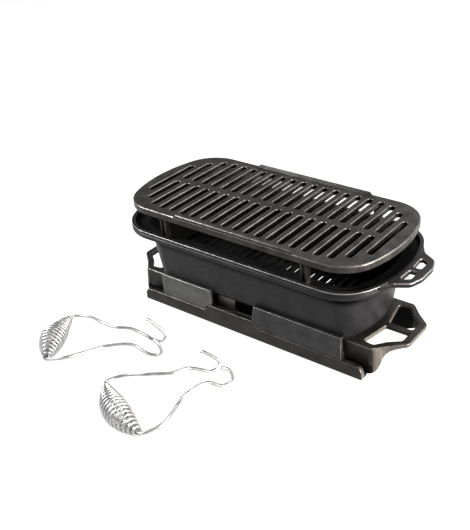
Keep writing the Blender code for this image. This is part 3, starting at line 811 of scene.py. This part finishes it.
def base_slot(polygon):
    """Material slot of a face of the base, from where it lies and which way it faces."""
    x, y, z = polygon.center / MM
    normal = polygon.normal
    upper_edge = WORN_TILT[0] < normal.z < WORN_TILT[1]
    beyond_body = abs(x) >= BODY_HALF_LENGTH - 2
    tray = not beyond_body and abs(y) < BASE_WALL_Y - WALL_THICKNESS + 2 and z < BASE_TOP - 1.5
    channel = RAIL_BACK - 0.6 < y < -BASE_WALL_Y + 0.8 and z < RAIL_TOP - 0.5
    inward = normal.xy.dot(Vector((x - math.copysign(192, x), y))) < 0
    end_cavity = beyond_body and z < BASE_TOP - 3 and inward
    # Painted shade: the tray, the channel behind the rail and the end cavities are painted soot black
    if tray or channel or end_cavity:
        return SOOT_AND_SHADE
    worn_top = z > BASE_TOP - 1.6 and upper_edge
    worn_rail = y < RAIL_FRONT + 1.6 and z > RAIL_TOP - 1.6 and upper_edge
    between_ports = PORTS[0][1] < x < PORTS[1][0]
    # Painted light: the mullion between the ports takes the bright worn-edge iron, as if lit in its recess
    painted_light_mullion = between_ports and -BASE_WALL_Y - 0.5 < y < -60 and z > RAIL_TOP
    at_rail_end = y < RAIL_BACK and abs(x) > RAIL_HALF_LENGTH - RAIL_CORNER_RADIUS
    worn_end = at_rail_end and normal.x * x > 0.3 * abs(x) and z > 9
    return WORN if worn_top or worn_rail or worn_end or painted_light_mullion else PLAIN


def make_base():
    body = box((-BODY_HALF_LENGTH, -BASE_WALL_Y, 0), (BODY_HALF_LENGTH, BASE_WALL_Y, BASE_TOP))
    base = new_object("base_casting", body, (BASE_IRON,))
    inside = BASE_WALL_Y - WALL_THICKNESS
    length = TRAY_HALF_LENGTH
    top = BASE_TOP + OVERCUT
    tray = [(-length, -inside, 6), (length, -inside, 6), (length, inside, 6), (-length, inside, 6)]
    boolean(base, new_object("tray", prism(rounded(tray, 5), TRAY_FLOOR, top)), "DIFFERENCE")
    for side in (-1, 1):
        add_base_end(base, side)
    for start, end in PORTS:
        port = rounded([(start, PORT_SILL, 3), (end, PORT_SILL, 3), (end, top, 0), (start, top, 0)], 5)
        cutter = along_y(port, -BASE_WALL_Y - OVERCUT, BASE_WALL_Y + OVERCUT)
        boolean(base, new_object("port", cutter), "DIFFERENCE")
    rail = [(RAIL_FRONT, 0), (-BASE_WALL_Y + 1, 0), (-BASE_WALL_Y + 1, 5), (RAIL_BACK, 5),
            (RAIL_BACK, RAIL_TOP), (RAIL_FRONT, RAIL_TOP)]
    boolean(base, new_object("rail", along_x(rail, -RAIL_HALF_LENGTH, RAIL_HALF_LENGTH)), "UNION")
    root = RAIL_TOP - 4
    stop = [(-77, root), (24.5, root), (24.5, RAIL_TOP), (13.5, STOP_TOP), (-67, STOP_TOP),
            (-77, RAIL_TOP)]
    boolean(base, new_object("stop", along_y(stop, RAIL_FRONT, RAIL_BACK)), "UNION")
    for side in (-1, 1):
        round_rail_corner(base, side)
    base = cast_skin(base, 0.9, 3, 0.35)
    base.data.materials.append(BASE_WORN_AND_LIT_IRON)
    base.data.materials.append(SOOT_AND_SHADE_IRON)
    for polygon in base.data.polygons:
        polygon.material_index = base_slot(polygon)
    return base


def cast_skin(item, voxel, passes, keep):
    """Melt a sharp solid into one skin with the soft edges of a sand casting.

    voxel is the size of the grid, passes the number of smoothings, keep the share of faces kept.
    """
    remesh = item.modifiers.new("remesh", "REMESH")
    remesh.mode = "VOXEL"
    remesh.voxel_size = voxel * MM
    relax = item.modifiers.new("relax", "SMOOTH")
    relax.factor = 0.5
    relax.iterations = passes
    thin = item.modifiers.new("thin", "DECIMATE")
    thin.ratio = keep
    bake_modifiers(item)
    return smooth(item, 60)


# ---------------------------------------------------------------- draught doors

# Faces of the door plates along Y, and heights of their edges and of the tongue's foot
DOOR_FRONT = -78.5
DOOR_BACK = -72.8
DOOR_FOOT = 20.3
DOOR_TOP = 56.6
TONGUE_FOOT = 7
# Outlines as (x, z), cut off toward the stop block between the doors, and each tongue's ends along X
LEFT_DOOR = ((-160.2, DOOR_FOOT), (-79.0, DOOR_FOOT), (-67.6, 31.8), (-63.3, 31.8), (-63.3, DOOR_TOP),
             (-160.2, DOOR_TOP))
RIGHT_DOOR = ((26.0, DOOR_FOOT), (165.0, DOOR_FOOT), (165.0, DOOR_TOP), (16.5, DOOR_TOP), (12.4, 32.8))
LEFT_TONGUE = (-158, -82)
RIGHT_TONGUE = (28, 163)


def make_door(name, outline, tongue, material):
    """Door plate with a tongue that hangs behind the rail, in the channel between rail and wall."""
    door = new_object(name, along_y(outline, DOOR_FRONT, DOOR_BACK), (material, DOOR_EDGE))
    bottom = RAIL_TOP + 0.3
    front, back = RAIL_BACK + 0.6, -BASE_WALL_Y - 0.7
    root = DOOR_BACK - 1
    section = [(root, bottom), (front, bottom), (front, TONGUE_FOOT), (back, TONGUE_FOOT),
               (back, bottom + 7), (root, bottom + 7)]
    boolean(door, new_object("tongue", along_x(section, *tongue)), "UNION")
    clean(door)
    return soften(door, width=0.7, segments=2, angle=20, edge_slot=WORN)


# ---------------------------------------------------------------- lifters

# Wire from the middle of the grip to each hook's tip: along the grip, away from it, wire height
LEFT_ARM = ((-28, 3.3, 15.7), (-50, 8.4, 15.7), (-62, 15, 15), (-57.5, 39, 17), (-34, 63.5, 24),
            (-20, 85, 25), (-16, 96, 25.5), (-17.5, 115, 22.5), (-19.5, 135, 9.5), (-18.5, 145, 2.5),
            (-17.5, 154, 1.5), (-18.5, 161.5, 5), (-20.5, 163, 13), (-21.5, 146, 32), (-20.5, 139, 38))
RIGHT_ARM = ((28, 3.3, 15.7), (50, 8.4, 15.7), (59, 15, 19), (62, 38, 24), (44, 63.5, 22),
             (28, 83, 20.5), (24, 96, 21), (20.8, 112, 21.3), (19, 126, 18.5), (18.5, 134.5, 12),
             (18.5, 142.5, 5.5), (18, 150.5, 1.5), (17, 159, 1.2), (16.5, 165, 7), (17, 161.5, 20.5),
             (17.5, 155, 28), (16.5, 149, 31))
# Middle of each grip, its direction, and how much the lifter leans along the grip as it rests
LIFTERS = {"front": ((-24.3, -324.2), (0.927, -0.3756), -0.056),
           "rear": ((-221.2, -255.1), (0.505, -0.863), 0.038)}
WIRE_RADIUS = 2.3
COIL_WIRE_RADIUS = 1.8
COIL_TURNS = 16
STEPS_PER_TURN = 36
COIL_HALF_LENGTH = 52.0
COIL_END_RADIUS = 4.4
COIL_MIDDLE_RADIUS = 16.5
# The coil's axis lies this far off the lifter's origin at its ends, and less by the bow in its middle
GRIP_END_OFFSET = 9.0
GRIP_BOW = 8.0
# Gap under a lifter that lies on the ground
GROUND_GAP = 0.3
# Share of the wire's radius at the rings of its domed ends
DOME = (0.35, 0.7, 0.92)


def smooth_path(points, per_span):
    """Catmull-Rom curve through 3-D points."""
    out = []
    for i in range(len(points) - 1):
        before, start, end = points[max(i - 1, 0)], points[i], points[i + 1]
        after = points[min(i + 2, len(points) - 1)]
        for k in range(per_span):
            t = k / per_span
            out.append(0.5 * (2 * start + (end - before) * t
                              + (2 * before - 5 * start + 4 * end - after) * t ** 2
                              + (3 * start - before - 3 * end + after) * t ** 3))
    out.append(points[-1])
    return out


def wire(name, points, radius, sides):
    """Round wire along a path, with domed ends."""
    first = (points[0] - points[1]).normalized()
    last = (points[-1] - points[-2]).normalized()
    path = [(points[0] + first * radius * math.sqrt(1 - d * d) * 0.6, d) for d in DOME]
    path += [(point, 1.0) for point in points]
    path += [(points[-1] + last * radius * math.sqrt(1 - d * d) * 0.6, d) for d in DOME[::-1]]
    rings = []
    turns = [2 * math.pi * k / sides for k in range(sides)]
    normal = (points[1] - points[0]).orthogonal().normalized()
    for i, (point, share) in enumerate(path):
        tangent = (path[min(i + 1, len(path) - 1)][0] - path[max(i - 1, 0)][0]).normalized()
        normal = (normal - tangent * normal.dot(tangent)).normalized()
        other = tangent.cross(normal)
        rings.append([point + radius * share * (normal * math.cos(a) + other * math.sin(a)) for a in turns])
    item = new_object(name, loft(rings), (NICKEL,))
    item.data.shade_smooth()
    return item


def coil_radius(u):
    """Radius of the barrel-shaped coil; u runs from -1 to 1 along it."""
    swell = max(math.cos(u * math.pi / 2), 0.0) ** 1.1
    return COIL_END_RADIUS + (COIL_MIDDLE_RADIUS - COIL_END_RADIUS) * swell


def make_lifter(prefix, grip_centre, direction, lean):
    """Bent wire bail and the coil threaded on it, both as they lie on the ground."""
    u_axis = Vector((*direction, 0)).normalized()
    w_axis = Vector((-u_axis.y, u_axis.x, 0))
    up = Vector((0, 0, 1))
    origin = Vector((*grip_centre, 0))

    def place(u, w, h):
        return origin + u_axis * u + w_axis * w + up * (h + lean * u + WIRE_RADIUS + GROUND_GAP)

    bail = [place(*point) for point in LEFT_ARM[::-1] + RIGHT_ARM]
    bail = wire(prefix + "_bail_wire", smooth_path(bail, 10), WIRE_RADIUS, 16)
    steps = COIL_TURNS * STEPS_PER_TURN
    turns = []
    for i in range(steps + 1):
        u = 2 * i / steps - 1
        angle = 2 * math.pi * i / STEPS_PER_TURN
        spoke = w_axis * math.cos(angle) + up * math.sin(angle)
        along = COIL_HALF_LENGTH * u
        offset = GRIP_END_OFFSET - GRIP_BOW * (1 - u * u)
        height = COIL_MIDDLE_RADIUS + COIL_WIRE_RADIUS + GROUND_GAP + lean * along
        turns.append(origin + u_axis * along + w_axis * offset + up * height + spoke * coil_radius(u))
    grip = wire(prefix + "_grip_coil", turns, COIL_WIRE_RADIUS, 12)
    return bail, grip


# ---------------------------------------------------------------- assembly

def place_piece(item, body, cad_node):
    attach(item, body)
    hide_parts(cad_node)


place_piece(make_cooking_grate(), "cooking_grate", "cooking_grate")
place_piece(make_fire_bowl(), "bowl", "fire_bowl")
place_piece(make_coal_grate(), "coal_grate", "coal_grate")
place_piece(make_base(), "stand", "base")
left_door = make_door("left_door_casting", LEFT_DOOR, LEFT_TONGUE, LIT_LEFT_DOOR_IRON)
right_door = make_door("right_door_casting", RIGHT_DOOR, RIGHT_TONGUE, DOOR_IRON)
place_piece(left_door, "left_door", "left_draft_door")
place_piece(right_door, "right_door", "right_draft_door")
for prefix, (grip_centre, direction, lean) in LIFTERS.items():
    bail, grip = make_lifter(prefix, grip_centre, direction, lean)
    place_piece(bail, prefix + "_lifter", prefix + "_lifter_bail")
    place_piece(grip, prefix + "_lifter", prefix + "_lifter_grip")


# ---------------------------------------------------------------- stage, light and camera

# The floor is a dull grey that glows, so it shows white yet throws little light up at the iron
FLOOR_GREY = 0.22
FLOOR_GLOW = 0.84
FLOOR_HALF_SIZE = 15000
WORLD_STRENGTH = 0.42
# Camera: azimuth, elevation and roll in degrees, place in metres, lens in millimetres
CAMERA_ANGLES = (36.489, 30.38, -2.464)
CAMERA_PLACE = (0.6412, -0.8649, 0.7136)
CAMERA_LENS = 56.314
CAMERA_SHIFT_X = -0.0755


def make_floor():
    material = bpy.data.materials.new("floor_paper")
    material.use_nodes = True
    shader = material.node_tree.nodes["Principled BSDF"]
    shader.inputs["Base Color"].default_value = (FLOOR_GREY, FLOOR_GREY, FLOOR_GREY, 1)
    shader.inputs["Roughness"].default_value = 0.9
    shader.inputs["Specular IOR Level"].default_value = 0.1
    shader.inputs["Emission Color"].default_value = (1, 1, 1, 1)
    shader.inputs["Emission Strength"].default_value = FLOOR_GLOW
    bm = bmesh.new()
    bmesh.ops.create_grid(bm, x_segments=1, y_segments=1, size=FLOOR_HALF_SIZE)
    floor = new_object("floor", bm, (material,))


def make_light(name, place, target, size, power, colour=(1, 1, 1)):
    """Rectangular light at a place, aimed at a target; both in metres."""
    data = bpy.data.lights.new(name, "AREA")
    data.shape = "RECTANGLE"
    data.size, data.size_y = size
    data.energy = power
    data.color = colour
    lamp = bpy.data.objects.new(name, data)
    bpy.context.scene.collection.objects.link(lamp)
    lamp.location = place
    lamp.rotation_euler = (Vector(target) - Vector(place)).to_track_quat("-Z", "Y").to_euler()


def make_world():
    world = bpy.data.worlds.new("studio")
    world.use_nodes = True
    background = world.node_tree.nodes["Background"]
    background.inputs["Color"].default_value = (1, 1, 1, 1)
    background.inputs["Strength"].default_value = WORLD_STRENGTH
    bpy.context.scene.world = world


def make_camera():
    """Camera at the photograph's azimuth (from the front, toward +X), elevation and roll."""
    azimuth, elevation, roll = (math.radians(angle) for angle in CAMERA_ANGLES)
    level = math.cos(elevation)
    back = Vector((math.sin(azimuth) * level, -math.cos(azimuth) * level, math.sin(elevation)))
    right = Vector((math.cos(azimuth), math.sin(azimuth), 0))
    up = back.cross(right)
    turned_right = right * math.cos(roll) + up * math.sin(roll)
    turned_up = up * math.cos(roll) - right * math.sin(roll)
    data = bpy.data.cameras.new("camera")
    data.lens = CAMERA_LENS
    data.sensor_width = 36.0
    data.shift_x = CAMERA_SHIFT_X
    data.clip_start, data.clip_end = 0.05, 50
    camera = bpy.data.objects.new("camera", data)
    bpy.context.scene.collection.objects.link(camera)
    rotation = Matrix((turned_right, turned_up, back)).transposed().to_4x4()
    camera.matrix_world = Matrix.Translation(CAMERA_PLACE) @ rotation
    bpy.context.scene.camera = camera


make_floor()
make_world()
make_light("front_left", (-0.95, -0.6, 0.8), (-0.2, 0, 0.08), (0.4, 0.4), 26)
make_light("overhead_back", (0.35, 1.1, 1.6), (0.05, 0, 0.15), (1.5, 0.8), 34)
make_light("low_right", (1.45, 0.0, 0.45), (0.2, 0, 0.08), (0.75, 0.45), 78, (1.0, 0.91, 0.82))
make_camera()
bpy.context.scene.view_settings.view_transform = "Standard"
